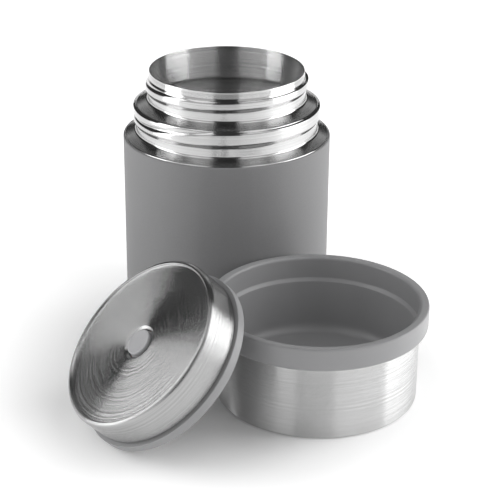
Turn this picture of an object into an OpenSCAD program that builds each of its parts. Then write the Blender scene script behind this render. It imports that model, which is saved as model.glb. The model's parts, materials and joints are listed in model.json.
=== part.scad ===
// Insulated food jar with its screw lid and its screw cup taken off.
// Millimetres, +Z up. The origin is the centre of the jar's base. The jar stands on z = 0,
// the cup stands in front of it and the lid leans against the cup's rim.
// Neck sizes are written as depths below the mouth, lid sizes as heights above its open end.

/* [Jar] */
// Height of the jar from its base to its mouth
jar_h = 123; // [105:1:160]
// Outer radius of the coated body
jar_r = 50; // [49.5:0.5:60]
// Inner radius of the mouth
mouth_r = 36.4; // [34:0.1:36.8]
// Wall of the coated outer shell, with its coat
shell_wall = 0.7; // [0.5:0.05:1]
// Wall of the neck collar
collar_wall = 0.4; // [0.3:0.05:0.5]
// Wall of the inner vessel
vessel_wall = 0.35; // [0.25:0.05:0.4]
// Vacuum space between the two walls of the neck
neck_space = 0.85; // [0.6:0.05:1]
// Vacuum space between the inner vessel and the outer shell
body_space = 2.15; // [1.5:0.05:3]
// Outer radius of the rounding at the foot of the body
foot_round = 3; // [1.5:0.1:4]
// Rounding of the coated shell's top edge
crown_round = 0.65; // [0.3:0.05:0.69]

/* [Neck] */
// Height of the narrow lip above the neck
lip_h = 0.8; // [0.5:0.1:1.2]
// Rounding of the lip
lip_round = 0.39; // [0.2:0.01:0.39]
// How far the lip stands in from the neck
lip_step = 0.8; // [0.5:0.05:1]
// Depth at which the neck reaches its full radius
neck_top_d = 3.4; // [2.5:0.1:4]
// Depth of the shelf between the two threaded bands
shelf_d = 14.2; // [13.5:0.1:18]
// Place of the lower threaded band between the neck and the shoulder's edge
tier_share = 0.527; // [0.4:0.01:0.6]
// Height of the lower threaded band
tier_h = 12.7; // [12:0.1:16]
// Height of the collar's lap inside the outer shell
lap_h = 4.3; // [3:0.1:8]
// Fall of the shelf and of the shoulder for each millimetre outwards
slope_share = 0.43; // [0.3:0.01:0.5]
// Inner bend of the neck's formed corners
bend_in = 1.2; // [0.6:0.1:1.5]
// Outer bend of the neck's formed corners
bend_out = 1; // [0.6:0.1:1.2]

/* [Threads] */
// Height of the rolled thread beads
bead_h = 1.1; // [0.8:0.05:1.3]
// Width of the rolled thread beads at their root
bead_w = 4.6; // [4:0.1:4.8]
// Rise of each thread in one turn
pitch = 4; // [3.8:0.05:4.3]
// Depth of the upper bead's middle at the front
bead_upper_d = 7.2; // [6.9:0.1:7.5]
// Depth of the lower bead's middle at the front
bead_lower_d = 22.6; // [22.3:0.1:23]
// Width of the moulded ribs at their root
rib_w = 2.4; // [2:0.1:2.6]
// Distance of a rib's middle under the bead that it draws on
rib_drop = 2.8; // [2.7:0.05:3]
// Free play between a bead and the wall that passes over it
screw_gap = 0.25; // [0.2:0.05:0.4]

/* [Lid] */
// Height of the lid over its steel rim
lid_h = 19.7; // [18.5:0.1:24]
// Height of the plastic ring at the open end
ring_h = 4.4; // [3:0.1:5]
// How far the plastic ring stands out from the steel
ring_step = 1.8; // [1:0.1:2]
// Rounding of the plastic ring's lower edge
ring_round = 0.8; // [0.4:0.1:1]
// Open joint between the ring and the steel
joint_gap = 0.3; // [0.2:0.05:0.5]
// Wall of the plastic skirt
skirt_wall = 0.65; // [0.5:0.05:0.8]
// Wall of the lid's steel shell
lid_wall = 0.35; // [0.25:0.05:0.4]
// Rounding of the steel rim
rim_round = 1.8; // [1:0.1:2.5]
// Width of the raised steel rim
rim_w = 3; // [2.8:0.1:4]
// Depth of the lid's dished face under its rim
dish_deep = 0.9; // [0.5:0.05:1.2]
// Thickness of the lid's inner deck
deck_h = 1.2; // [0.8:0.1:1.5]
// Play between the insulating plug and the jar's mouth
plug_gap = 3.4; // [1:0.1:6]
// How far the plug stands out of the open end
plug_proud = 5.5; // [4:0.1:8]
// Wall of the insulating plug
plug_wall = 1.2; // [0.9:0.1:1.6]
// Rounding of the plug's end
plug_round = 0.8; // [0.4:0.1:1.2]
// Thickness of the sealing ring's flange
gasket_h = 0.5; // [0.3:0.05:0.6]

/* [Vent] */
// Radius of the vent button
button_r = 6.4; // [5.8:0.1:7]
// How far the button's face stands proud of the dish
button_proud = 0.7; // [0.3:0.05:0.8]
// Travel of the vent button
button_travel = 1.6; // [1:0.1:1.9]
// Play between the button and its well
button_gap = 0.5; // [0.4:0.05:0.7]
// Length of the button's skirt under its face
button_skirt = 5.9; // [5:0.1:6.4]
// Thickness of the button's face and of its skirt
button_wall = 1.2; // [1:0.1:1.5]
// Radius of the stem
stem_r = 1.5; // [1.2:0.1:1.8]
// Play round the stem where it passes the well's floor
stem_gap = 0.4; // [0.3:0.05:0.6]
// Radius of the silicone valve seal
valve_r = 5.5; // [5:0.1:6]
// Thickness of the silicone valve seal
valve_h = 1.2; // [0.8:0.1:1.4]
// Thickness of the spring's wire
wire_d = 0.6; // [0.4:0.05:0.7]
// Mean radius of the spring's turns
spring_r = 4; // [3.8:0.05:4.2]
// Turns of the spring
spring_turns = 6; // [4:1:7]
// Radius of the cord of the O-ring
oring_r = 0.45; // [0.35:0.01:0.47]

/* [Cup] */
// Height of the cup
cup_h = 45; // [42:0.5:60]
// Width of the ring at the cup's rim
cup_ring_w = 3.95; // [3:0.05:6]
// Height of the ring at the cup's rim
cup_ring_h = 10.4; // [9.8:0.1:14]
// Depth of the cup's threaded mouth
cup_thread_deep = 10.3; // [9.6:0.1:13]
// Height of the ledge under the threaded mouth
ledge_h = 1.5; // [1:0.1:2.5]
// Width of the ledge under the threaded mouth
ledge_w = 1.35; // [1:0.05:2]
// Wall of the plastic liner
liner_wall = 1.2; // [0.8:0.1:1.3]
// Wall of the cup's steel shell
cup_wall = 0.4; // [0.3:0.05:0.5]
// How much narrower the liner is at its floor than at the ledge
liner_draft = 1.5; // [0.5:0.1:1.6]
// How much narrower the steel shell is at its foot than under the ring
cup_draft = 0.2; // [0:0.05:0.4]
// Thickness of the foam under the liner
cup_foam_h = 6.5; // [4:0.1:10]
// Rounding of the liner's floor
liner_round = 4.5; // [3:0.1:8]
// Rounding of the steel shell's foot
cup_foot_round = 1.2; // [0.8:0.1:2]
// Rounding of the ring's upper outer edge
cup_edge_round = 0.8; // [0.3:0.1:1.2]
// Rounding of the ring's lower outer edge
cup_under_round = 1.5; // [0.5:0.1:2]
// Rounding of the cup's drinking lip
cup_lip_round = 1.2; // [0.6:0.1:1.5]

/* [Layout] */
// Space between the jar and the cup where they stand side by side
cup_space = 0.8; // [0.5:0.1:60]
// Direction from the jar to the cup, counted from +X
cup_bearing = -65; // [-90:1:-40]
// Direction from the cup to the middle of the lid's open end
lid_bearing = -153.8; // [-156:0.1:-150]
// Direction in which the lid's top face looks
lid_turn = -152; // [-156:0.5:-150]
// Lean of the lid's axis away from upright
lid_tilt = 44.5; // [43.5:0.1:46]
// Space between the plug and the cup's rim that it leans on
lean_gap = 0.3; // [0.2:0.05:0.5]

/* [Hidden] */
$fn = 96;

// Clearance of a piece pressed, welded or glued into its neighbour
seat_gap = 0.05;
// Clearance of a sheet that laps another sheet
lap_gap = 0.1;
// Overrun of every cut
over = 1;
// Steps of a rounded corner
round_steps = 6;
// Angle from one ring of a thread to the next
thread_step = 6;
// Angle over which a thread rises from nothing at its ends
fade_angle = 28;
// Space between a thread's foot and its wall
thread_seat = 0.01;
// Share of its full size that a thread has at its very ends
thread_end_share = 0.06;
// Largest share of a step that the rounding at each of its ends takes
round_share = 0.4;
// Section of a rolled bead: place across its width, share of its height
bead_shares = [[-0.5, 0], [-0.3, 0.7], [-0.13, 1], [0.13, 1], [0.3, 0.7], [0.5, 0]];
// Section of a moulded rib: place across its width, share of its height
rib_shares = [[-0.5, 0], [-0.2, 1], [0.2, 1], [0.5, 0]];
// Ends of the threads, counted round the axis, with the front at 270
upper_start = 40;
upper_end = 432;
lower_start = 200;
lower_end = 592;
lid_rib_start = 44;
lid_rib_end = 386;
cup_rib_start = 170;
cup_rib_end = 370;
front = 270;

// The jar's own sizes
shell_in = jar_r - shell_wall;
neck_walls = vessel_wall + neck_space + collar_wall;
neck_r = mouth_r + neck_walls;
lip_r = neck_r - lip_step;
lap_r = shell_in - lap_gap;
tier_r = neck_r + tier_share * (lap_r - neck_r);
tier_top_d = shelf_d + slope_share * (tier_r - neck_r);
shoulder_d = tier_top_d + tier_h;
crown_drop = 0.3;
shoulder_end_d = shoulder_d + slope_share * (lap_r - tier_r);
crown_d = shoulder_end_d + crown_drop;
// Height of the vacuum bottom's underside, of its sheet and of its rim
bottom_z = 4;
bottom_wall = 0.6;
bottom_rim_h = 7;
// Hole through which the space is pumped out, and the solder that closes it
pump_hole_r = 1.5;
solder_r = 3.5;
solder_h = 1;
solder_round = 0.5;
// Floor of the inner vessel and its roundings
floor_z = 8.6;
floor_round = 4;
vessel_r = shell_in - body_space - vessel_wall;
vessel_tier_r = tier_r - neck_walls;
// How much deeper the vessel's shelf lies than the collar's
vessel_drop = 2.28;
vessel_shelf_d = shelf_d + vessel_drop;
vessel_waist_d = shoulder_d + neck_walls;
vessel_round = 1.5;
waist_round = 3;
vessel_bend = min(vessel_round, round_share * (vessel_tier_r - mouth_r));
waist_bend = min(waist_round, vessel_r - vessel_tier_r);
// Reflecting foil round the inner vessel
foil_wall = 0.15;
foil_foot = 1.4;
foil_z = floor_z + floor_round + foil_foot;
foil_h = jar_h - vessel_waist_d - vessel_r + vessel_tier_r - waist_bend - foil_foot - foil_z;
// Gas absorber on the vacuum bottom and the strap that holds it
getter_r = 4;
getter_h = 2;
getter_x = 22;
strap_wall = 0.3;
strap_w = 5;
strap_foot = 3;
strap_gap = 0.1;
strap_bend = 0.5;
// Disc that closes the base
cover_wall = 0.7;

// The lid's own sizes, from its open end upwards
lid_bore_r = neck_r + bead_h + screw_gap;
lid_rib_r = neck_r + screw_gap;
skirt_r = lid_bore_r + skirt_wall;
lid_r = skirt_r + seat_gap + lid_wall;
ring_r = lid_r + ring_step;
ring_top_round = 0.3;
// Gap left under the lid when it is closed, at the shelf
closed_gap = 0.4;
// Height of the jar's rim inside the closed lid
rim_t = shelf_d + closed_gap;
gasket_gap = 0.1;
gasket_bead_h = 0.25;
deck_t = rim_t + gasket_gap + gasket_bead_h + gasket_h;
gasket_bead_w = 2.6;
gasket_edge_gap = 0.25;
plug_r = mouth_r - plug_gap;
dish_t = lid_h - dish_deep;
dish_r = lid_r - rim_w;
button_t = dish_t + button_proud;
well_r = button_r + button_gap;
well_wall = 1.2;
// Turned-down edge of the dish round the button
dimple_w = 1.1;
dimple_h = 0.8;
well_top_t = dish_t - dimple_h - lid_wall - seat_gap;
// Height of the button's foot and the room under it
foot_t = button_t - button_wall - button_skirt;
foot_room = 4.8;
well_floor_t = foot_t - foot_room;
well_floor_h = 1.2;
boss_wall = 1.1;
boss_h = 3;
button_round = 0.4;
groove_deep = 0.7;
groove_h = 1.1;
groove_drop = 1.4;
groove_t = button_t - button_wall - groove_drop;
// Valve at the plug's end, in a pocket that the stem doesn't leave when the button is pressed
valve_play = 2;
pocket_r = valve_r + valve_play;
vent_r = 3;
vent_wall = 1;
valve_gap = 0.1;
valve_dish = 0.4;
clip_r = 2.8;
clip_h = 0.6;
clip_slot_w = 1.8;
groove_r = 1.1;
stem_end = 0.4;
stem_t = button_travel + seat_gap - plug_proud;
clip_t = stem_t + stem_end;
valve_t = clip_t + clip_h + seat_gap;
pocket_t = valve_t + valve_h + valve_gap;
foam_r = pocket_r + plug_wall + seat_gap;
// Section of the spring's wire and rings in one turn
wire_sides = 6;
turn_rings = 8;

// The cup's own sizes
cup_bore_r = tier_r + bead_h + screw_gap;
cup_rib_r = tier_r + screw_gap;
cup_ring_r = cup_bore_r + cup_ring_w;
cup_liner_r = cup_bore_r - ledge_w;
cup_shell_r = cup_liner_r + liner_wall + lap_gap + cup_wall;
cup_ring_z = cup_h - cup_ring_h;
cup_thread_z = cup_h - cup_thread_deep;
ledge_z = cup_thread_z - ledge_h;
ledge_round = 0.6;
liner_under_z = cup_wall + cup_foam_h + seat_gap * 2;
liner_floor_z = liner_under_z + liner_wall;
foam_edge_gap = 2;
// Depth of the rib's middle below the cup's rim
cup_rib_deep = 3.2;
cup_rib_z = cup_h - cup_rib_deep;
// Roundings of the cup's ring, limited by its width
lip_bend = min(cup_lip_round, round_share * cup_ring_w);
edge_bend = min(cup_edge_round, round_share * cup_ring_w);
under_bend = min(cup_under_round, round_share * (cup_ring_r - cup_liner_r - liner_wall));

// Where the cup and the lid stand
cup_stand = jar_r + cup_ring_r + cup_space;
cup_at = [cup_stand * cos(cup_bearing), cup_stand * sin(cup_bearing)];
lid_z = ring_round + (ring_r - ring_round) * sin(lid_tilt) - ring_round * cos(lid_tilt);
// The lid leans with the plug's end on the cup's upper edge, or where the plug is too small for
// that, with the plug's edge on the side of the cup's ring: how far out each of them puts the lid
tilt_round_share = sin(lid_tilt) + cos(lid_tilt) - 1;
lean_on_edge = ((cup_h - lid_z) * cos(lid_tilt) + plug_proud + lean_gap - edge_bend * tilt_round_share)
    / sin(lid_tilt);
lean_on_side = plug_r * cos(lid_tilt) + plug_proud * sin(lid_tilt) + lean_gap
    - plug_round * tilt_round_share;
lid_stand = (cup_ring_r + min(lean_on_edge, lean_on_side)) / cos(lid_bearing - lid_turn);
lid_at = [cup_at[0] + lid_stand * cos(lid_bearing), cup_at[1] + lid_stand * sin(lid_bearing), lid_z];

// Outlines and sweeps
function unit(v) = v / norm(v);
function point(p) = [p[0], p[1]];

// Arc that rounds the corner q between p and s
function corner(p, q, s, r) =
    let (u = unit(p - q), v = unit(s - q), half = acos(u * v) / 2,
        centre = q + unit(u + v) * r / sin(half),
        a = q + u * r / tan(half) - centre, b = q + v * r / tan(half) - centre,
        from = atan2(a[1], a[0]), turn = (atan2(b[1], b[0]) - from + 540) % 360 - 180)
    [for (i = [0:round_steps]) let (w = from + turn * i / round_steps)
        centre + r * [cos(w), sin(w)]];

// Closed outline from corners given as [x, y, rounding]
function outline(c) = let (n = len(c)) [for (i = [0:n - 1])
    each c[i][2] == 0 ? [point(c[i])]
        : corner(point(c[(i + n - 1) % n]), point(c[i]), point(c[(i + 1) % n]), c[i][2])];

// Open path from corners given as [x, y, rounding], sharp at both ends
function path(c) = let (n = len(c)) [for (i = [0:n - 1])
    each i == 0 || i == n - 1 || c[i][2] == 0 ? [point(c[i])]
        : corner(point(c[i - 1]), point(c[i]), point(c[i + 1]), c[i][2])];

// The other face of a sheet whose first face is the path p
function side(a, b) = let (d = unit(b - a)) [d[1], -d[0]];
function other_face(p, wall) = let (n = len(p)) [for (i = [0:n - 1])
    let (m = side(p[max(i - 1, 0)], p[max(i, 1)]),
        k = side(p[min(i, n - 2)], p[min(i + 1, n - 1)]))
    p[i] + wall * (m + k) / (1 + m * k)];
function backwards(p) = [for (i = [len(p) - 1:-1:0]) p[i]];
function from_mouth(p) = [for (q = p) [q[0], jar_h - q[1]]];

// Round shape from an outline of radius and height
module turned(points) {
    rotate_extrude() polygon(points);
}

// Faces of a tube whose points lie ring after ring
function tube_faces(rings, n) = concat(
    [for (i = [1:n - 2]) [0, i, i + 1]],
    [for (k = [0:rings - 2], i = [0:n - 1]) let (j = (i + 1) % n)
        each [[k * n + i, (k + 1) * n + i, (k + 1) * n + j], [k * n + i, (k + 1) * n + j, k * n + j]]],
    [for (i = [1:n - 2]) let (k = (rings - 1) * n) [k, k + i + 1, k + i]]);

// Share of a thread's full size at an angle between its ends
function fade(a, start, end) =
    let (s = min(1, (a - start) / fade_angle, (end - a) / fade_angle))
    thread_end_share + (1 - thread_end_share) * sin(90 * s);

// Thread that runs along a wall of radius r, a hair's breadth from it so that both stay true
// solids: up is its height at the front, out is 1 on the wall's outside and -1 on its inside
module thread(r, up, start, end, w, h, shares, out) {
    count = round((end - start) / thread_step);
    foot = out > 0 ? r / cos(thread_step / 2) + thread_seat : r - thread_seat;
    rings = [for (k = [0:count])
        let (a = start + (end - start) * k / count, s = fade(a, start, end),
            z = up + pitch * (a - front) / 360)
        each [for (q = shares) let (d = foot + out * q[1] * h * s)
            [d * cos(a), d * sin(a), z + q[0] * w * s]]];
    faces = tube_faces(count + 1, len(shares));
    polyhedron(rings, out < 0 ? faces : [for (f = faces) backwards(f)]);
}

// Puts the lid's pieces where the lid leans
module lid_place() {
    translate(lid_at) rotate([0, 0, lid_turn]) rotate([0, lid_tilt, 0]) children();
}

module cup_place() {
    translate([cup_at[0], cup_at[1], 0]) children();
}

// The jar
module outer_shell() {
    color("dimgray") turned(outline([
        [shell_in, jar_h - crown_d, 0],
        [jar_r, jar_h - crown_d, crown_round],
        [jar_r, 0, foot_round],
        [jar_r - foot_round, 0, 0],
        [jar_r - foot_round, shell_wall, 0],
        [shell_in, shell_wall, foot_round - shell_wall]]));
}

module neck_collar() {
    outside = path([
        [lip_r, lip_h / 2, 0],
        [lip_r, lip_h, bend_out / 2],
        [neck_r, neck_top_d, bend_out],
        [neck_r, shelf_d, bend_in],
        [tier_r, tier_top_d, bend_out],
        [tier_r, shoulder_d, bend_in],
        [lap_r, shoulder_end_d, bend_out / 2],
        [lap_r, shoulder_end_d + lap_h, 0]]);
    inside = other_face(outside, -collar_wall);
    lip = path([
        [mouth_r, lip_h / 2, 0],
        [mouth_r, 0, lip_round],
        [lip_r, 0, lip_round],
        [lip_r, lip_h / 2, 0]]);
    top = [for (i = [0:len(lip) - 2]) lip[i]];
    color("silver") union() {
        turned(from_mouth(concat(top, outside, backwards(inside))));
        thread(neck_r, jar_h - bead_upper_d, upper_start, upper_end, bead_w, bead_h, bead_shares, 1);
        thread(tier_r, jar_h - bead_lower_d, lower_start, lower_end, bead_w, bead_h, bead_shares, 1);
    }
}

module inner_vessel() {
    inside = path([
        [mouth_r, lip_h / 2 + seat_gap, 0],
        [mouth_r, vessel_shelf_d, vessel_bend],
        [vessel_tier_r, vessel_shelf_d + slope_share * (vessel_tier_r - mouth_r), bend_in],
        [vessel_tier_r, vessel_waist_d, waist_bend],
        [vessel_r, vessel_waist_d + vessel_r - vessel_tier_r, waist_bend],
        [vessel_r, jar_h - floor_z, floor_round],
        [0, jar_h - floor_z, 0]]);
    outside = other_face(inside, vessel_wall);
    color("gainsboro") turned(from_mouth(concat(inside, backwards(outside))));
}

module heat_shield() {
    foil_r = vessel_r + vessel_wall + seat_gap;
    color("peru") difference() {
        translate([0, 0, foil_z]) cylinder(h = foil_h, r = foil_r + foil_wall);
        translate([0, 0, foil_z - over]) cylinder(h = foil_h + 2 * over, r = foil_r);
    }
}

module vacuum_bottom() {
    color("darkgray") turned(outline([
        [lap_r, bottom_z + bottom_rim_h, 0],
        [lap_r, bottom_z, bend_in],
        [pump_hole_r, bottom_z, 0],
        [pump_hole_r, bottom_z + bottom_wall, 0],
        [lap_r - bottom_wall, bottom_z + bottom_wall, bend_in - bottom_wall],
        [lap_r - bottom_wall, bottom_z + bottom_rim_h, 0]]));
}

module vacuum_seal() {
    color("lightgray") turned(outline([
        [0, bottom_z - solder_h, 0],
        [solder_r, bottom_z - solder_h, solder_round],
        [solder_r, bottom_z, 0],
        [pump_hole_r - seat_gap, bottom_z, 0],
        [pump_hole_r - seat_gap, bottom_z + bottom_wall, 0],
        [0, bottom_z + bottom_wall, 0]]));
}

module getter() {
    color("slategray") translate([getter_x, 0, bottom_z + bottom_wall])
        cylinder(h = getter_h, r = getter_r);
}

module getter_strap() {
    half = getter_r + strap_gap + strap_wall;
    outside = path([
        [-half - strap_foot, strap_wall, 0],
        [-half, strap_wall, strap_bend],
        [-half, getter_h + strap_gap + strap_wall, strap_bend],
        [half, getter_h + strap_gap + strap_wall, strap_bend],
        [half, strap_wall, strap_bend],
        [half + strap_foot, strap_wall, 0]]);
    inside = other_face(outside, strap_wall);
    color("silver") translate([getter_x, strap_w / 2, bottom_z + bottom_wall]) rotate([90, 0, 0])
        linear_extrude(strap_w) polygon(concat(outside, backwards(inside)));
}

module base_cover() {
    color("gray") cylinder(h = cover_wall, r = jar_r - foot_round - lap_gap);
}

// The lid
module lid_shell() {
    outside = path([
        [lid_r, ring_h + joint_gap, 0],
        [lid_r, lid_h, rim_round],
        [dish_r + rim_w / 3, lid_h, dish_deep / 2],
        [dish_r, dish_t, dish_deep / 2],
        [well_r + dimple_w, dish_t, dish_deep / 2],
        [well_r, dish_t - dimple_h, 0]]);
    inside = other_face(outside, -lid_wall);
    color("lightgray") lid_place() turned(concat(outside, backwards(inside)));
}

module lid_body() {
    color("gray") lid_place() union() {
        turned(outline([
            [ring_r, 0, ring_round],
            [ring_r, ring_h, ring_top_round],
            [skirt_r, ring_h, 0],
            [skirt_r, deck_t + deck_h, 0],
            [well_r + well_wall, deck_t + deck_h, 0],
            [well_r + well_wall, well_top_t, 0],
            [well_r, well_top_t, 0],
            [well_r, well_floor_t, 0],
            [stem_r + stem_gap, well_floor_t, 0],
            [stem_r + stem_gap, well_floor_t - well_floor_h, 0],
            [well_r + well_wall, well_floor_t - well_floor_h, 0],
            [well_r + well_wall, deck_t, 0],
            [lid_bore_r, deck_t, 0],
            [lid_bore_r, 0, ring_top_round]]));
        thread(lid_bore_r, rim_t - bead_upper_d - rib_drop, lid_rib_start, lid_rib_end,
            rib_w, lid_bore_r - lid_rib_r, rib_shares, -1);
    }
}

module lid_plug() {
    color("darkgray") lid_place() turned(outline([
        [plug_r, -plug_proud, plug_round],
        [plug_r, deck_t, 0],
        [plug_r - plug_wall, deck_t, 0],
        [plug_r - plug_wall, plug_wall - plug_proud, plug_round],
        [pocket_r + plug_wall, plug_wall - plug_proud, 0],
        [pocket_r + plug_wall, pocket_t + plug_wall, 0],
        [vent_r + vent_wall, pocket_t + plug_wall, 0],
        [vent_r + vent_wall, well_floor_t - well_floor_h - seat_gap, 0],
        [vent_r, well_floor_t - well_floor_h - seat_gap, 0],
        [vent_r, pocket_t, 0],
        [pocket_r, pocket_t, 0],
        [pocket_r, -plug_proud, ring_top_round]]));
}

module lid_foam() {
    color("khaki") lid_place() difference() {
        translate([0, 0, plug_wall - plug_proud + seat_gap])
            cylinder(h = deck_t - plug_wall + plug_proud - 2 * seat_gap,
                r = plug_r - plug_wall - plug_round);
        translate([0, 0, -plug_proud]) cylinder(h = deck_t + plug_proud + over, r = foam_r);
    }
}

module lid_gasket() {
    bead_from = mouth_r - lip_round;
    color("whitesmoke") lid_place() turned(outline([
        [plug_r + seat_gap, deck_t, 0],
        [lid_bore_r - gasket_edge_gap, deck_t, 0],
        [lid_bore_r - gasket_edge_gap, deck_t - gasket_h, 0],
        [bead_from + gasket_bead_w, deck_t - gasket_h, 0],
        [bead_from + gasket_bead_w, rim_t + gasket_gap, gasket_bead_h / 2],
        [bead_from, rim_t + gasket_gap, gasket_bead_h / 2],
        [bead_from, deck_t - gasket_h, 0],
        [plug_r + seat_gap, deck_t - gasket_h, 0]]));
}

// The vent
module vent_button() {
    boss_r = stem_r + seat_gap + boss_wall;
    under = button_t - button_wall;
    color("silver") lid_place() turned(outline([
        [0, button_t, 0],
        [button_r, button_t, button_round],
        [button_r, groove_t, 0],
        [button_r - groove_deep, groove_t, 0],
        [button_r - groove_deep, groove_t - groove_h, 0],
        [button_r, groove_t - groove_h, 0],
        [button_r, foot_t, 0],
        [button_r - button_wall, foot_t, 0],
        [button_r - button_wall, under, 0],
        [boss_r, under, 0],
        [boss_r, under - boss_h, 0],
        [stem_r + seat_gap, under - boss_h, 0],
        [stem_r + seat_gap, under, 0],
        [0, under, 0]]));
}

module button_seal() {
    color("black") lid_place() translate([0, 0, groove_t - groove_h / 2]) rotate_extrude()
        translate([button_r - groove_deep + oring_r + seat_gap, 0]) circle(r = oring_r);
}

module vent_stem() {
    under = button_t - button_wall;
    color("silver") lid_place() turned([
        [0, under - seat_gap],
        [stem_r, under - seat_gap],
        [stem_r, valve_t - seat_gap / 2],
        [groove_r, valve_t - seat_gap / 2],
        [groove_r, clip_t - seat_gap / 2],
        [stem_r, clip_t - seat_gap / 2],
        [stem_r, stem_t],
        [0, stem_t]]);
}

module vent_seal() {
    color("whitesmoke") lid_place() turned(outline([
        [stem_r + seat_gap, valve_t + valve_h - valve_dish, 0],
        [vent_r, valve_t + valve_h - valve_dish, 0],
        [vent_r + valve_dish, valve_t + valve_h, 0],
        [valve_r, valve_t + valve_h, 0],
        [valve_r, valve_t + valve_h - valve_dish, 0],
        [clip_r, valve_t, 0],
        [stem_r + seat_gap, valve_t, 0]]));
}

module stem_clip() {
    color("silver") lid_place() difference() {
        translate([0, 0, clip_t]) cylinder(h = clip_h, r = clip_r);
        translate([0, 0, clip_t - over]) cylinder(h = clip_h + 2 * over, r = groove_r + seat_gap);
        translate([0, -clip_slot_w / 2, clip_t - over])
            cube([clip_r + over, clip_slot_w, clip_h + 2 * over]);
    }
}

// Middle line of the spring, from the well's floor to the button
spring_foot = well_floor_t + seat_gap + wire_d / 2;
spring_head = button_t - button_wall - seat_gap - wire_d / 2;
spring_line = [for (k = [0:spring_turns * turn_rings])
    let (a = 360 * k / turn_rings, share = k / (spring_turns * turn_rings))
    [spring_r * cos(a), spring_r * sin(a), spring_foot + (spring_head - spring_foot) * share]];
spring_gap = min([for (k = [0:len(spring_line) - 1 - turn_rings / 2],
    m = [k + turn_rings / 2:len(spring_line) - 1])
    norm(spring_line[m] - spring_line[k])]) - wire_d;
echo(spring_least_gap = spring_gap, spring_length = spring_head - spring_foot + wire_d);

module vent_spring() {
    rings = [for (k = [0:len(spring_line) - 1]) let (a = 360 * k / turn_rings)
        each [for (i = [0:wire_sides - 1]) let (b = 360 * i / wire_sides)
            spring_line[k] + wire_d / 2 * [cos(a) * cos(b), sin(a) * cos(b), sin(b)]]];
    color("silver") lid_place()
        polyhedron(rings, [for (f = tube_faces(len(spring_line), wire_sides)) backwards(f)]);
}

// The cup
module cup_shell() {
    foot_r = cup_shell_r - cup_draft;
    color("lightgray") cup_place() turned(outline([
        [cup_shell_r, cup_ring_z - seat_gap, 0],
        [foot_r, 0, cup_foot_round],
        [0, 0, 0],
        [0, cup_wall, 0],
        [foot_r - cup_wall, cup_wall, cup_foot_round - cup_wall],
        [cup_shell_r - cup_wall, cup_ring_z - seat_gap, 0]]));
}

module cup_liner() {
    color("gray") cup_place() union() {
        turned(outline([
            [cup_bore_r, cup_h, lip_bend],
            [cup_ring_r, cup_h, edge_bend],
            [cup_ring_r, cup_ring_z, under_bend],
            [cup_liner_r + liner_wall, cup_ring_z, 0],
            [cup_liner_r - liner_draft + liner_wall, liner_under_z, liner_round + liner_wall],
            [0, liner_under_z, 0],
            [0, liner_floor_z, 0],
            [cup_liner_r - liner_draft, liner_floor_z, liner_round],
            [cup_liner_r, ledge_z, ledge_round],
            [cup_bore_r, cup_thread_z, ledge_round]]));
        thread(cup_bore_r, cup_rib_z, cup_rib_start, cup_rib_end, rib_w, cup_bore_r - cup_rib_r,
            rib_shares, -1);
    }
}

module cup_foam() {
    color("khaki") cup_place() translate([0, 0, cup_wall + seat_gap])
        cylinder(h = cup_foam_h, r = cup_liner_r - liner_draft - foam_edge_gap);
}

outer_shell();
neck_collar();
inner_vessel();
heat_shield();
vacuum_bottom();
vacuum_seal();
getter();
getter_strap();
base_cover();
lid_shell();
lid_body();
lid_plug();
lid_foam();
lid_gasket();
vent_button();
vent_spring();
vent_stem();
vent_seal();
stem_clip();
button_seal();
cup_shell();
cup_liner();
cup_foam();
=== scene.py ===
import json
import math

import bmesh
import bpy
from mathutils import Matrix, Vector


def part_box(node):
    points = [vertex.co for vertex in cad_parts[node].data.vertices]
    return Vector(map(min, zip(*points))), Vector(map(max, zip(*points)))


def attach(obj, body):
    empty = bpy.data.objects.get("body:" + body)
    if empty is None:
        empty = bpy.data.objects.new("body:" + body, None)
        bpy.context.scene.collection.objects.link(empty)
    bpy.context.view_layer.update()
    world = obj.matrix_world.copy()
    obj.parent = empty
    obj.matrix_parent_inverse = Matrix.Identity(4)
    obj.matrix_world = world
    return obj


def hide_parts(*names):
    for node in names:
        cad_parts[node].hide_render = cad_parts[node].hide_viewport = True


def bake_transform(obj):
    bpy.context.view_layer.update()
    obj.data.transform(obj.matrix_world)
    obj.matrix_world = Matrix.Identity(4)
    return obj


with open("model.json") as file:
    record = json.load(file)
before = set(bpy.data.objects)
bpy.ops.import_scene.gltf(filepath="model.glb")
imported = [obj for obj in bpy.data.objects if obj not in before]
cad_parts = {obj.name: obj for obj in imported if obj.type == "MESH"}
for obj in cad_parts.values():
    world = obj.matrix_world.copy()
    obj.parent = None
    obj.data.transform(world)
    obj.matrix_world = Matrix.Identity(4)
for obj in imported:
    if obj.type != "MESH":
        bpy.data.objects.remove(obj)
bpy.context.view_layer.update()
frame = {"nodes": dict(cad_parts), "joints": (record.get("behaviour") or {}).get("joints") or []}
mm = 0.001

# The camera stands in front of the jar and looks down on it, as in the photograph: its place, its
# downward pitch and its slight roll were solved from the rims' ellipses.
camera_at = Vector((11.717, -717.07, 346.83)) * mm
camera_pitch = math.radians(23.953)
camera_roll = 0.0082
camera_data = bpy.data.cameras.new("camera")
camera_data.sensor_width = 36
camera_data.lens = 112.7
camera = bpy.data.objects.new("camera", camera_data)
level = Matrix.Rotation(math.pi / 2 - camera_pitch, 4, "X")
camera.matrix_world = Matrix.Translation(camera_at) @ level @ Matrix.Rotation(camera_roll, 4, "Z")
bpy.context.scene.collection.objects.link(camera)
bpy.context.scene.camera = camera
bpy.context.scene.view_settings.view_transform = "Standard"


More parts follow.
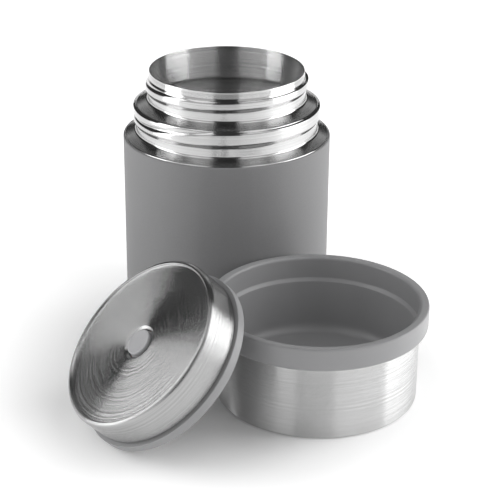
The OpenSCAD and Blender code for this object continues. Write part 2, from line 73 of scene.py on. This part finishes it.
# The studio: flat soft boxes in a dim room. Three overlap on each side of the front and leave a gap
# at the camera, one stands at each flank, two hang above and a weak one is behind. The polished
# steel shows the gap as its dark middle band.
class Value:
    """A socket of a node tree, on which Python's sums add Math nodes."""

    def __init__(self, shader, socket):
        self.shader, self.socket = shader, socket

    def __add__(self, other):
        return self.shader.math("ADD", self, other)

    def __sub__(self, other):
        return self.shader.math("SUBTRACT", self, other)

    def __rsub__(self, other):
        return self.shader.math("SUBTRACT", other, self)

    def __mul__(self, other):
        return self.shader.math("MULTIPLY", self, other)

    __radd__, __rmul__ = __add__, __mul__


class Shader:
    """One node tree, whose nodes are all made by one method."""

    def __init__(self, tree):
        self.tree = tree
        tree.nodes.clear()

    def node(self, kind, settings=None, out=0, **inputs):
        made = self.tree.nodes.new("ShaderNode" + kind)
        for name, value in (settings or {}).items():
            setattr(made, name, value)
        for name, value in inputs.items():
            key = int(name[1:]) if name[1:].isdigit() else name.replace("_", " ")
            if isinstance(value, Value):
                self.tree.links.new(value.socket, made.inputs[key])
            else:
                made.inputs[key].default_value = value
        return Value(self, made.outputs[out]) if made.outputs else made

    def math(self, operation, *values):
        numbered = {f"i{k}": value for k, value in enumerate(values)}
        return self.node("Math", {"operation": operation}, **numbered)

    def vector(self, operation, *values, out=0, **more):
        numbered = {f"i{k}": value for k, value in enumerate(values)}
        return self.node("VectorMath", {"operation": operation}, out, **numbered, **more)

    def ramp(self, value, low, high, to_low=0.0, to_high=1.0):
        """Eases from to_low to to_high while the value goes from low to high."""
        return self.node("MapRange", {"interpolation_type": "SMOOTHSTEP"}, Value=value,
                         From_Min=low, From_Max=high, To_Min=to_low, To_Max=to_high)

    def spread(self, noise, to_low=0.0, to_high=1.0):
        """Stretches a noise, most of which lies between 0.3 and 0.7, over a range."""
        return self.ramp(noise, 0.3, 0.7, to_low, to_high)

    def mix(self, factor, first, second):
        """Blends one colour into another."""
        return self.node("Mix", {"data_type": "RGBA"}, out=2, Factor=factor, i6=(*first, 1),
                         i7=(*second, 1))

    def place(self):
        """The surface point in Object coordinates."""
        return self.node("TexCoord", out=3)


room_light = 0.05
world = bpy.data.worlds.new("studio")
bpy.context.scene.world = world
world.use_nodes = True
sky = Shader(world.node_tree)
seen = sky.node("LightPath", out=0)
sky.node("OutputWorld", Surface=sky.node("Background", Color=(1, 1, 1, 1),
                                         Strength=room_light + seen * (1 - room_light)))


def soft_box(name, middle, aim, width, height, radiance):
    """A flat rectangular lamp at middle that faces the point aim."""
    lamp = bpy.data.lights.new(name, "AREA")
    lamp.shape = "RECTANGLE"
    lamp.size, lamp.size_y = width, height
    lamp.energy = radiance * math.pi * width * height
    made = bpy.data.objects.new(name, lamp)
    facing = (middle - aim).to_track_quat("Z", "Y").to_matrix().to_4x4()
    made.matrix_world = Matrix.Translation(middle) @ facing
    made.visible_camera = False
    bpy.context.scene.collection.objects.link(made)


lamp_level = 0.36
lamp_height = 0.70
front_x = 0.40
front_y = -0.42
front_aim_y = -0.04
front_widths_and_radiances = ((0.58, 0.7), (0.44, 0.75), (0.30, 0.85))
flank_x = 0.55
flank_y = -0.06
flank_y_more = 0.04
flank_width = 0.36
flank_width_more = 0.08
flank_radiance = 3.3
top_x = 0.31
top_y = -0.17
top_level = 0.74
top_width = 0.34
top_length = 0.50
top_radiance = 1.4
back_y = 0.7
back_level = 0.6
back_width = 0.8
back_height = 0.6
back_radiance = 0.4
for side in (-1, 1):
    for width, radiance in front_widths_and_radiances:
        soft_box("front_box", Vector((side * front_x, front_y, lamp_level)),
                 Vector((0, front_aim_y, lamp_level)), width, lamp_height, radiance)
    y = flank_y + side * flank_y_more
    soft_box("side_box", Vector((side * flank_x, y, lamp_level)), Vector((0, y, lamp_level)),
             flank_width + side * flank_width_more, lamp_height, flank_radiance)
    soft_box("top_box", Vector((side * top_x, top_y, top_level)), Vector((side * top_x, top_y, 0)),
             top_width, top_length, top_radiance)
soft_box("back_box", Vector((0, back_y, back_level)), Vector((0, 0, back_level)),
         back_width, back_height, back_radiance)

# The floor: a plain matt white table top with painted light on it. It glows more the further it lies
# from the object and less towards the viewer, so it is painted darker under the objects and in front
# of them, because the photograph's ground is white.
floor_size = 6
floor_white = (0.9, 0.9, 0.9, 1)
object_middle = (0, -0.08, 0)
under_r = 0.05
around_r = 0.14
far_r = 0.5
under_glow = 0.04
around_glow = 0.55
far_glow_more = 0.4
viewer_y = -0.34
middle_y = -0.14
viewer_glow_share = 0.55
bm = bmesh.new()
bmesh.ops.create_grid(bm, x_segments=1, y_segments=1, size=floor_size)
floor_mesh = bpy.data.meshes.new("floor")
bm.to_mesh(floor_mesh)
bm.free()
floor = bpy.data.objects.new("floor", floor_mesh)
bpy.context.scene.collection.objects.link(floor)
floor_material = bpy.data.materials.new("floor")
floor_material.use_nodes = True
shader = Shader(floor_material.node_tree)
distance = shader.vector("DISTANCE", shader.place(), object_middle, out=1)
depth = shader.vector("DOT_PRODUCT", shader.place(), (0, 1, 0), out=1)
# Painted light: the floor's glow is weak under the objects, grows further out and fades towards the
# viewer.
glow = (shader.ramp(distance, under_r, around_r, under_glow, around_glow)
        + shader.ramp(distance, around_r, far_r, 0, far_glow_more))
painted_floor_glow = glow * shader.ramp(depth, viewer_y, middle_y, viewer_glow_share, 1.0)
shader.node("OutputMaterial", Surface=shader.node(
    "BsdfPrincipled", Base_Color=floor_white, Roughness=0.6, Emission_Strength=1.0,
    Emission_Color=painted_floor_glow))
floor_mesh.materials.append(floor_material)

# The jar's outer shell: deep-drawn steel with a matt dark grey powder coat, its foot rolled in
# round the base cover and its top edge rounded over the bare collar.
merge_gap = 0.001 * mm


def turned(corners, place=Matrix(), around=216, arc=6, step=2 * mm):
    """Spins a closed outline of (radius, height, rounding) corners about the Z axis into a mesh."""
    shape = bmesh.new()
    ends = [shape.verts.new((r, 0, z)) for r, z, rounding in corners]
    for a, b in zip(ends, ends[1:] + ends[:1]):
        if a.co.x or b.co.x:
            shape.edges.new((a, b))
    count = len(corners)
    for k, (r, z, rounding) in enumerate(corners):
        if rounding:
            here = Vector((r, z))
            before, after = (Vector(corners[(k + d) % count][:2]) for d in (-1, 1))
            half = (before - here).angle(after - here) / 2
            bmesh.ops.bevel(shape, geom=[ends[k]], offset=rounding / math.tan(half), segments=arc,
                            profile=0.5, affect="VERTICES", material=-1)
    for edge in [e for e in shape.edges if e.calc_length() > step]:
        bmesh.ops.subdivide_edges(shape, edges=[edge], cuts=int(edge.calc_length() / step))
    bmesh.ops.spin(shape, geom=shape.verts[:] + shape.edges[:], cent=(0, 0, 0), axis=(0, 0, 1),
                   angle=2 * math.pi, steps=around, use_merge=True)
    bmesh.ops.remove_doubles(shape, verts=shape.verts, dist=merge_gap)
    bmesh.ops.recalc_face_normals(shape, faces=shape.faces)
    shape.transform(place)
    return shape


def piece(name, shape, material, body, slot, *replaced, crease=35):
    """Makes a finished mesh into a piece that rides on a body, if one is named. Its edges look
    sharp where they bend by more than the crease, in degrees."""
    mesh = bpy.data.meshes.new(name)
    for face in shape.faces:
        face.smooth = True
    for edge in shape.edges:
        edge.smooth = len(edge.link_faces) < 2 or edge.calc_face_angle() < math.radians(crease)
    shape.to_mesh(mesh)
    shape.free()
    mesh.materials.append(material)
    made = bpy.data.objects.new(name, mesh)
    bpy.context.scene.collection.objects.link(made)
    if body:
        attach(made, body)
    if replaced:
        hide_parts(*replaced)
    return made


def new_material(name):
    """A new material and the shader that builds its nodes."""
    material = bpy.data.materials.new(name)
    material.use_nodes = True
    return material, Shader(material.node_tree)


coat_grain_h = 0.02 * mm
coat_grain_share = 0.6


def powder_coat(dark, light, smoothest, roughest):
    """A sprayed and baked coat: a fine grain, and a faint cloud in its tone and gloss."""
    material, shader = new_material("powder_coat")
    grain = shader.node("TexNoise", Vector=shader.place(), Scale=2600.0, Detail=3.0)
    cloud = shader.node("TexNoise", Vector=shader.place(), Scale=30.0, Detail=2.0)
    tone = shader.spread(grain * coat_grain_share + cloud * (1 - coat_grain_share))
    bump = shader.node("Bump", Strength=0.25, Distance=coat_grain_h, Height=grain)
    surface = shader.node("BsdfPrincipled", Base_Color=shader.mix(tone, dark, light),
                          Roughness=shader.ramp(cloud, 0.2, 0.8, smoothest, roughest),
                          Normal=bump, Specular_IOR_Level=0.4)
    shader.node("OutputMaterial", Surface=surface)
    return material


coat = powder_coat((0.18, 0.18, 0.183), (0.205, 0.205, 0.208), 0.5, 0.58)
shell_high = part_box("outer_shell")[1]
shell_r = shell_high.x
shell_wall = 0.7 * mm
shell_foot = 3 * mm
shell_crown = 0.65 * mm
body_shell = turned([
    (shell_r - shell_wall, shell_high.z, 0),
    (shell_r, shell_high.z, shell_crown),
    (shell_r, 0, shell_foot),
    (shell_r - shell_foot, 0, 0),
    (shell_r - shell_foot, shell_wall, 0),
    (shell_r - shell_wall, shell_wall, shell_foot - shell_wall)])
piece("body_shell", body_shell, coat, "jar", "body_coat", "outer_shell")

# The neck collar: bare polished steel, formed in two stepped bands with a rolled thread bead on
# each, and a sloping shoulder whose edge is lapped and welded inside the coated shell.
thread_pitch = 4 * mm
thread_fade = 28
front_angle = 270
wall_reach = 0.03 * mm
crest_lean = 0.12
least_share = 0.3


def sheet(corners, wall):
    """Outline of a sheet from the corners of its outer face, the other face being wall further in."""
    inner = []
    last = len(corners) - 1
    for k, (r, z, rounding) in enumerate(corners):
        steps = [Vector(corners[b][:2]) - Vector(corners[a][:2])
                 for a, b in ((k - 1, k), (k, k + 1)) if a >= 0 and b <= last]
        across = [Vector((d.y, -d.x)).normalized() for d in steps]
        shift = (across[0] + across[-1]) * wall / (1 + across[0].dot(across[-1]))
        turns_in = steps[0].cross(steps[-1]) * wall < 0
        bend = max(0, rounding - abs(wall) if turns_in else rounding + abs(wall)) if rounding else 0
        inner.append((r + shift.x, z + shift.y, bend))
    return corners + inner[::-1]


def swell(shape, wall_r, front_z, span, height, section, widens=(0, 1, 0)):
    """Raises a helical bead on the wall of radius wall_r, between the two angles of its span, with
    its middle at front_z where it faces the viewer. The section is how far under and over the
    middle its flanks begin and end: the lower foot, lower crest, upper crest and upper foot. From
    the first angle of widens to the second the bead grows upwards by the last value."""
    start, end = span
    foot_low, crest_low, crest_high, foot_high = section
    widens_from, widens_to, more = widens
    for vertex in shape.verts:
        x, y, z = vertex.co
        r = math.hypot(x, y)
        if abs(r - wall_r) > wall_reach:
            continue
        rise = 0
        turn = math.degrees(math.atan2(y, x)) % 360
        for angle in (turn, turn + 360):
            if start < angle < end:
                from_end = min(angle - start, end - angle)
                share = math.sin(math.pi / 2 * min(1, from_end / thread_fade))
                middle_z = front_z + thread_pitch * (angle - front_angle) / 360
                away = (z - middle_z) / max(share, least_share)
                up = max(0, min(1, (angle - widens_from) / (widens_to - widens_from))) * more
                under = (away + foot_low) / (foot_low - crest_low)
                over = (foot_high + up - away) / (foot_high - crest_high)
                flank = max(0, min(1, under, over))
                upwards = max(0, min(1, (away + crest_low) / (crest_low + crest_high + up)))
                rise = max(rise, (share - crest_lean * upwards) * flank * flank * (3 - 2 * flank))
        vertex.co.x += x / r * height * rise
        vertex.co.y += y / r * height * rise


wall_until = 0.75
face_from = 0.9
mark_spacing = 0.6 * mm
marks_in_spacing = 16
uneven_share = 0.3
streak_share = 0.7
streak_contrast = 0.12
smudge = 0.05
coarse_times = 2
coarse_edge = 1 * mm


def turned_steel(name, grey, roughness, ring_tilt, wall_tilt, axis=(0, 0, 1), centre=(0, 0, 0),
                 coarse_below=None):
    """Steel with the fine marks of its last turning, which tilt the surface. On a wall they follow
    each other along the axis, and on a flat face they are rings round it. Under the height
    coarse_below they are deeper."""
    material, shader = new_material(name)
    arm = shader.vector("SUBTRACT", shader.place(), centre)
    height = shader.vector("DOT_PRODUCT", arm, axis, out=1)
    out = shader.vector("SUBTRACT", arm, shader.vector("SCALE", axis, Scale=height))
    radius = shader.vector("LENGTH", out, out=1)
    across = shader.vector("NORMALIZE", out)
    normal = shader.node("NewGeometry", out=1)
    on_face = shader.math("ABSOLUTE", shader.vector("DOT_PRODUCT", normal, axis, out=1))
    is_face = shader.ramp(on_face, wall_until, face_from)
    mark = (is_face * radius + (1 - is_face) * height) * (1 / mark_spacing)
    uneven = shader.node("TexNoise", {"noise_dimensions": "1D"}, W=mark, Scale=0.6, Detail=4.0,
                         Roughness=0.8)
    each = shader.math("PINGPONG", mark * marks_in_spacing, 1)
    tilt = uneven * uneven_share + each * (1 - uneven_share) - 0.5
    tilt = tilt * (is_face * (ring_tilt - wall_tilt) + wall_tilt)
    if coarse_below:
        tilt = tilt * shader.ramp(height, coarse_below - coarse_edge, coarse_below + coarse_edge,
                                  coarse_times, 1)
    push = shader.vector("ADD", shader.vector("SCALE", across, Scale=is_face * tilt),
                         shader.vector("SCALE", axis, Scale=(1 - is_face) * tilt))
    bent = shader.vector("NORMALIZE", shader.vector("ADD", normal, push))
    cloud = shader.node("TexNoise", Vector=shader.place(), Scale=45.0, Detail=3.0)
    streak = shader.ramp(uneven, 0.35, 0.65) * streak_share
    tone = shader.mix(streak + shader.spread(cloud) * (1 - streak_share),
                      (grey * (1 - streak_contrast),) * 3, (grey * (1 + streak_contrast),) * 3)
    surface = shader.node("BsdfPrincipled", Base_Color=tone, Metallic=1.0, Normal=bent,
                          Roughness=shader.spread(cloud, roughness, roughness + smudge))
    shader.node("OutputMaterial", Surface=surface)
    return material


neck_steel = turned_steel("neck_steel", 0.49, 0.10, ring_tilt=0.5, wall_tilt=0.24)
jar_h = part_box("neck_collar")[1].z
collar_wall = 0.4 * mm
mouth_r = 36.4 * mm
lip_r = 37.2 * mm
lip_h = 0.4 * mm
lip_edge_d = 0.8 * mm
lip_round = 0.39 * mm
band_r = 37.5 * mm
band_d = 3.2 * mm
neck_r = 38.0 * mm
neck_top_d = 4.2 * mm
shelf_d = 14.2 * mm
slope = 0.43
tier_r = 43.9 * mm
tier_top_d = shelf_d + slope * (tier_r - neck_r)
tier_h = 12.7 * mm
shoulder_d = tier_top_d + tier_h
lap_gap = 0.1 * mm
lap_r = shell_r - shell_wall - lap_gap
lap_d = shoulder_d + slope * (lap_r - tier_r)
lap_h = 4.3 * mm
bend_close = 0.5 * mm
bend_in = 1.2 * mm
bend_out = 1 * mm
collar_step = 0.42 * mm


def below_mouth(corners):
    """Turns corners with a depth under the jar's mouth into corners with a height."""
    return [(r, jar_h - depth, rounding) for r, depth, rounding in corners]


collar = turned(below_mouth([
    (mouth_r, lip_h, 0),
    (mouth_r, 0, lip_round),
    (lip_r, 0, lip_round),
    *sheet([
        (lip_r, lip_edge_d, bend_close),
        (band_r, band_d, bend_close),
        (neck_r, neck_top_d, bend_close),
        (neck_r, shelf_d, bend_in),
        (tier_r, tier_top_d, bend_out),
        (tier_r, shoulder_d, bend_in),
        (lap_r, lap_d, bend_close),
        (lap_r, lap_d + lap_h, 0)], -collar_wall),
    (lip_r - collar_wall, lip_h, 0)]), step=collar_step, around=288)
bead_h = 1.15 * mm
bead_upper_d = 7.0 * mm
bead_upper_span = (40, 432)
bead_upper_section = (2.9 * mm, 0.6 * mm, 1.0 * mm, 2.4 * mm)
bead_upper_widens = (190, 235, 1.0 * mm)
bead_lower_d = 22.2 * mm
bead_lower_span = (165, 592)
bead_lower_section = (2.8 * mm, 0.6 * mm, 0.8 * mm, 2.0 * mm)
bead_lower_widens = (222, 262, 3.4 * mm)
swell(collar, neck_r, jar_h - bead_upper_d, bead_upper_span, bead_h, bead_upper_section,
      bead_upper_widens)
swell(collar, tier_r, jar_h - bead_lower_d, bead_lower_span, bead_h, bead_lower_section,
      bead_lower_widens)
piece("neck", collar, neck_steel, "jar", "polished_steel", "neck_collar")

# The inner vessel: drawn and brushed steel, welded to the collar at the lip. Under the narrow neck
# it follows the collar's step and shoulder, and then widens to the food well.
vessel_wall = 0.35 * mm
vessel_top_d = 0.45 * mm
vessel_shelf_d = 16.48 * mm
vessel_shelf_round = 1.5 * mm
vessel_tier_r = 42.3 * mm
vessel_tier_d = vessel_shelf_d + slope * (vessel_tier_r - mouth_r)
vessel_waist_d = 31.04 * mm
vessel_waist_round = 3 * mm
vessel_r = 46.8 * mm
vessel_wide_d = vessel_waist_d + vessel_r - vessel_tier_r
vessel_floor_z = 8.6 * mm
vessel_floor_round = 4 * mm
vessel_steel = turned_steel("vessel_steel", 0.70, 0.16, ring_tilt=0.5, wall_tilt=1.5,
                            coarse_below=jar_h - vessel_shelf_d)
vessel = turned(below_mouth(sheet([
    (mouth_r, vessel_top_d, 0),
    (mouth_r, vessel_shelf_d, vessel_shelf_round),
    (vessel_tier_r, vessel_tier_d, bend_in),
    (vessel_tier_r, vessel_waist_d, vessel_waist_round),
    (vessel_r, vessel_wide_d, vessel_waist_round),
    (vessel_r, jar_h - vessel_floor_z, vessel_floor_round),
    (0, jar_h - vessel_floor_z, 0)], vessel_wall)))
piece("vessel", vessel, vessel_steel, "jar", "vessel_steel", "inner_vessel")


# What the vacuum space holds: the copper foil that keeps the heat in, the welded bottom with its
# soldered pump hole, and the getter pellet under its strap. They and the coated cover below them
# stay as the frame has them.
def finish(node, material):
    """Gives a CAD node's own mesh a material."""
    mesh = frame["nodes"][node].data
    mesh.materials.clear()
    mesh.materials.append(material)


metal_grain_h = 0.03 * mm
metal_dark_share = 0.8
metal_rougher = 0.1


def plain_metal(name, colour, roughness):
    """Metal as it comes from the mill, with a fine even grain."""
    material, shader = new_material(name)
    grain = shader.node("TexNoise", Vector=shader.place(), Scale=700.0, Detail=4.0)
    darker = [part * metal_dark_share for part in colour]
    bump = shader.node("Bump", Strength=0.3, Distance=metal_grain_h, Height=grain)
    surface = shader.node("BsdfPrincipled", Base_Color=shader.mix(grain, darker, colour),
                          Roughness=shader.spread(grain, roughness, roughness + metal_rougher),
                          Metallic=1.0, Normal=bump)
    shader.node("OutputMaterial", Surface=surface)
    return material


drawn_steel = plain_metal("drawn_steel", (0.62, 0.62, 0.62), 0.3)
finish("heat_shield", plain_metal("copper_foil", (0.85, 0.5, 0.3), 0.25))
finish("vacuum_bottom", drawn_steel)
finish("vacuum_seal", plain_metal("solder", (0.5, 0.5, 0.52), 0.45))
finish("getter", plain_metal("getter_metal", (0.25, 0.25, 0.26), 0.6))
finish("getter_strap", drawn_steel)
finish("base_cover", coat)

# The lid's steel cap: a dished disc in a rounded rim, its wall turned down over the plastic body.
# The disc is finished with rings round its centre, where the vent button stands in a dimple.
lid_axis = -Vector(next(j["axis"] for j in frame["joints"] if j["name"] == "button_press"))
foam_low, foam_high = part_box("lid_foam")
foam_middle_t = 5.575 * mm
lid_at = (foam_low + foam_high) / 2 - lid_axis * foam_middle_t
lid_turn = Matrix.Rotation(math.atan2(lid_axis.y, lid_axis.x), 4, "Z")
lid_place = Matrix.Translation(lid_at) @ lid_turn @ Matrix.Rotation(math.acos(lid_axis.z), 4, "Y")
lid_steel = turned_steel("lid_steel", 0.42, 0.18, ring_tilt=0.9, wall_tilt=0.9,
                         axis=tuple(lid_axis), centre=tuple(lid_at))
cap_wall = 0.35 * mm
ring_h = 4.4 * mm
joint_gap = 0.3 * mm
lid_r = 40.4 * mm
lid_h = 19.7 * mm
rim_w = 2 * mm
rim_steep = 0.25 * mm
rim_round = 1.8 * mm
rim_top_round = 0.25 * mm
rim_foot_round = 0.3 * mm
dish_deep = 0.9 * mm
dish_t = lid_h - dish_deep
dish_round = 0.45 * mm
dimple_w = 1.1 * mm
dimple_h = 0.8 * mm
well_r = 6.9 * mm
lid_cap = turned(sheet([
    (well_r, dish_t - dimple_h, 0),
    (well_r + dimple_w, dish_t, dish_round),
    (lid_r - rim_w - rim_steep, dish_t, rim_foot_round),
    (lid_r - rim_w, lid_h, rim_top_round),
    (lid_r, lid_h, rim_round),
    (lid_r, ring_h + joint_gap, 0)], cap_wall), lid_place)
piece("lid_cap", lid_cap, lid_steel, "lid", "polished_steel", "lid_shell")


# The lid's body: one moulding of grey polypropylene with the finger ring, the skirt with its inner
# thread, the deck and the button's well. The steel cap is pressed over its skirt.
mould_grain_h = 0.02 * mm
mould_rougher = 0.06


def moulded(name, dark, light, roughness):
    """Moulded plastic: the mould's fine grain, and a faint cloud in its tone."""
    material, shader = new_material(name)
    grain = shader.node("TexNoise", Vector=shader.place(), Scale=1800.0, Detail=3.0)
    cloud = shader.node("TexNoise", Vector=shader.place(), Scale=25.0, Detail=2.0)
    bump = shader.node("Bump", Strength=0.2, Distance=mould_grain_h, Height=grain)
    surface = shader.node("BsdfPrincipled", Normal=bump,
                          Base_Color=shader.mix(shader.spread(cloud), dark, light),
                          Roughness=shader.spread(grain, roughness, roughness + mould_rougher))
    shader.node("OutputMaterial", Surface=surface)
    return material


grey_plastic = moulded("grey_plastic", (0.27, 0.27, 0.275), (0.29, 0.29, 0.295), 0.35)
ring_r = 42.2 * mm
ring_round = 0.8 * mm
edge_round = 0.3 * mm
lid_bore_r = 39.35 * mm
skirt_r = 40.0 * mm
deck_t = 15.45 * mm
deck_h = 1.2 * mm
well_wall = 1.2 * mm
well_top_t = 17.6 * mm
well_floor_t = 7.6 * mm
stem_hole_r = 1.9 * mm
moulding_step = 0.9 * mm
lid_body = turned([
    (ring_r, 0, ring_round),
    (ring_r, ring_h, edge_round),
    (skirt_r, ring_h, 0),
    (skirt_r, deck_t + deck_h, 0),
    (well_r + well_wall, deck_t + deck_h, 0),
    (well_r + well_wall, well_top_t, 0),
    (well_r, well_top_t, 0),
    (well_r, well_floor_t, 0),
    (stem_hole_r, well_floor_t, 0),
    (stem_hole_r, well_floor_t - deck_h, 0),
    (well_r + well_wall, well_floor_t - deck_h, 0),
    (well_r + well_wall, deck_t, 0),
    (lid_bore_r, deck_t, 0),
    (lid_bore_r, 0, edge_round)], step=moulding_step)
rib_section = (1.2 * mm, 0.5 * mm, 0.5 * mm, 1.2 * mm)
lid_rib_t = 4.7 * mm
lid_rib_span = (44, 386)
swell(lid_body, lid_bore_r, lid_rib_t, lid_rib_span, -bead_h, rib_section)
lid_body.transform(lid_place)
piece("lid_moulding", lid_body, grey_plastic, "lid", "grey_plastic", "lid_body")

# The insulating plug: a grey moulded pot filled with foam and welded under the deck. Its end has
# the valve's pocket, and the white silicone ring that seals on the jar's lip sits round its root.
plug_r = 33 * mm
plug_end_t = -5.5 * mm
plug_wall = 1.2 * mm
plug_round = 0.8 * mm
pocket_r = 7.5 * mm
pocket_t = -1.5 * mm
vent_r = 3 * mm
vent_wall = 1 * mm
vent_top_t = 6.35 * mm
plug = turned([
    (plug_r, plug_end_t, plug_round),
    (plug_r, deck_t, 0),
    (plug_r - plug_wall, deck_t, 0),
    (plug_r - plug_wall, plug_end_t + plug_wall, plug_round),
    (pocket_r + plug_wall, plug_end_t + plug_wall, 0),
    (pocket_r + plug_wall, pocket_t + plug_wall, 0),
    (vent_r + vent_wall, pocket_t + plug_wall, 0),
    (vent_r + vent_wall, vent_top_t, 0),
    (vent_r, vent_top_t, 0),
    (vent_r, pocket_t, 0),
    (pocket_r, pocket_t, 0),
    (pocket_r, plug_end_t, edge_round)], lid_place)
piece("plug", plug, grey_plastic, "lid", "grey_plastic", "lid_plug")


light_reach = 1 * mm


def silicone_rubber():
    """Milky silicone rubber, into which light goes a little way."""
    material, shader = new_material("silicone")
    cloud = shader.node("TexNoise", Vector=shader.place(), Scale=300.0, Detail=3.0)
    tone = shader.mix(cloud, (0.62, 0.62, 0.60), (0.72, 0.72, 0.70))
    surface = shader.node("BsdfPrincipled", Base_Color=tone, Roughness=shader.spread(cloud, 0.4, 0.5),
                          Subsurface_Weight=0.2, Subsurface_Scale=light_reach)
    shader.node("OutputMaterial", Surface=surface)
    return material


silicone = silicone_rubber()
foam = moulded("foam", (0.62, 0.56, 0.38), (0.70, 0.64, 0.45), 0.8)
finish("lid_gasket", silicone)
finish("lid_foam", foam)

# The vent: a silvery plastic button in its well, with an O-ring in the groove of its skirt. Its
# steel stem runs through the plug to the valve's silicone seal, which a clip holds on.
button_plastic = moulded("button_plastic", (0.40, 0.40, 0.41), (0.44, 0.44, 0.45), 0.3)
button_r = 6.4 * mm
button_t = 19.5 * mm
button_round = 0.5 * mm
button_head_r = 5.95 * mm
button_head_h = 2.4 * mm
button_foot_t = 12.4 * mm
button_wall = 1.2 * mm
hollow_r = 3.52 * mm
hollow_d = 0.25 * mm
hollow_edge_d = 0.2 * mm
hollow_round = 0.3 * mm
groove_t = 16.9 * mm
groove_h = 1.1 * mm
groove_deep = 0.7 * mm
roof_t = button_t - button_wall
boss_r = 2.65 * mm
boss_h = 3 * mm
boss_bore_r = 1.55 * mm
button_step = 0.8 * mm
button = turned([
    (0, button_t - hollow_d, 0),
    (hollow_r, button_t - hollow_edge_d, hollow_round),
    (button_head_r, button_t, button_round),
    (button_head_r, button_t - button_head_h, 0),
    (button_r, button_t - button_head_h, 0),
    (button_r, groove_t, 0),
    (button_r - groove_deep, groove_t, 0),
    (button_r - groove_deep, groove_t - groove_h, 0),
    (button_r, groove_t - groove_h, 0),
    (button_r, button_foot_t, 0),
    (button_r - button_wall, button_foot_t, 0),
    (button_r - button_wall, roof_t, 0),
    (boss_r, roof_t, 0),
    (boss_r, roof_t - boss_h, 0),
    (boss_bore_r, roof_t - boss_h, 0),
    (boss_bore_r, roof_t, 0),
    (0, roof_t, 0)], lid_place, around=96, step=button_step)
piece("button", button, button_plastic, "button", "button_plastic", "vent_button")
finish("button_seal", silicone)
finish("vent_stem", drawn_steel)
finish("vent_seal", silicone)
finish("stem_clip", drawn_steel)

# The vent's spring: steel wire coiled in six open turns, seated on the well's floor and under the
# button's roof.
spring_r = 4 * mm
wire_r = 0.3 * mm
wire_sides = 10
seat_gap = 0.05 * mm
turns = 6
rings_in_turn = 36
ring_count = turns * rings_in_turn
spring_foot = well_floor_t + seat_gap + wire_r
spring_rise = roof_t - seat_gap - wire_r - spring_foot
wire_end = Matrix.Translation((spring_r, 0, spring_foot)) @ Matrix.Rotation(math.pi / 2, 4, "X")
coil = bmesh.new()
bmesh.ops.create_circle(coil, cap_ends=True, segments=wire_sides, radius=wire_r, matrix=wire_end)
bmesh.ops.spin(coil, geom=coil.verts[:] + coil.edges[:] + coil.faces[:], cent=(0, 0, 0),
               axis=(0, 0, 1), dvec=(0, 0, spring_rise / ring_count), angle=2 * math.pi * turns,
               steps=ring_count)
bmesh.ops.remove_doubles(coil, verts=coil.verts, dist=merge_gap)
bmesh.ops.recalc_face_normals(coil, faces=coil.faces)
coil.transform(lid_place)
spring = piece("spring", coil, drawn_steel, None, "spring_steel", "vent_spring", crease=50)
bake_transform(spring)

# The cup's steel bowl: polished, nearly straight, with a close rounded foot. Its upper edge ends
# under the liner's rim.
cup_low, cup_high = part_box("cup_foam")
cup_place = Matrix.Translation(((cup_low.x + cup_high.x) / 2, (cup_low.y + cup_high.y) / 2, 0))
cup_steel = turned_steel("cup_steel", 0.60, 0.18, ring_tilt=0.3, wall_tilt=1.7,
                         centre=tuple(cup_place.translation))
cup_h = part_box("cup_liner")[1].z
cup_ring_h = 10.4 * mm
cup_ring_z = cup_h - cup_ring_h
cup_gap = 0.05 * mm
cup_shell_r = 45.6 * mm
cup_foot_r = 45.4 * mm
cup_foot_round = 1.2 * mm
cup_wall = 0.4 * mm
cup_bowl = turned(sheet([
    (cup_shell_r, cup_ring_z - cup_gap, 0),
    (cup_foot_r, 0, cup_foot_round),
    (0, 0, 0)], cup_wall), cup_place)
piece("cup_bowl", cup_bowl, cup_steel, "cup", "polished_steel", "cup_shell")

# The cup's liner: one moulding of the same grey polypropylene, with the drinking rim, the threaded
# mouth with its ledge, and the smooth tapered well. A disc of foam lies under its floor.
cup_ring_r = 49.2 * mm
cup_ring_round = 0.8 * mm
cup_ring_foot_round = 1.5 * mm
cup_bore_r = 45.25 * mm
cup_lip_round = 1.2 * mm
cup_thread_h = 10.3 * mm
cup_thread_z = cup_h - cup_thread_h
ledge_h = 1.5 * mm
ledge_round = 0.6 * mm
liner_r = 43.9 * mm
liner_wall = 1.2 * mm
liner_foot_r = 42.4 * mm
liner_under_z = 7.0 * mm
liner_round = 4.5 * mm
cup_liner = turned([
    (cup_bore_r, cup_h, cup_lip_round),
    (cup_ring_r, cup_h, cup_ring_round),
    (cup_ring_r, cup_ring_z, cup_ring_foot_round),
    (liner_r + liner_wall, cup_ring_z, 0),
    (liner_foot_r + liner_wall, liner_under_z, liner_round + liner_wall),
    (0, liner_under_z, 0),
    (0, liner_under_z + liner_wall, 0),
    (liner_foot_r, liner_under_z + liner_wall, liner_round),
    (liner_r, cup_thread_z - ledge_h, ledge_round),
    (cup_bore_r, cup_thread_z, ledge_round)], step=moulding_step)
cup_rib_deep = 3.2 * mm
cup_rib_span = (170, 370)
swell(cup_liner, cup_bore_r, cup_h - cup_rib_deep, cup_rib_span, -bead_h, rib_section)
cup_liner.transform(cup_place)
piece("cup_lining", cup_liner, grey_plastic, "cup", "grey_plastic", "cup_liner")
finish("cup_foam", foam)
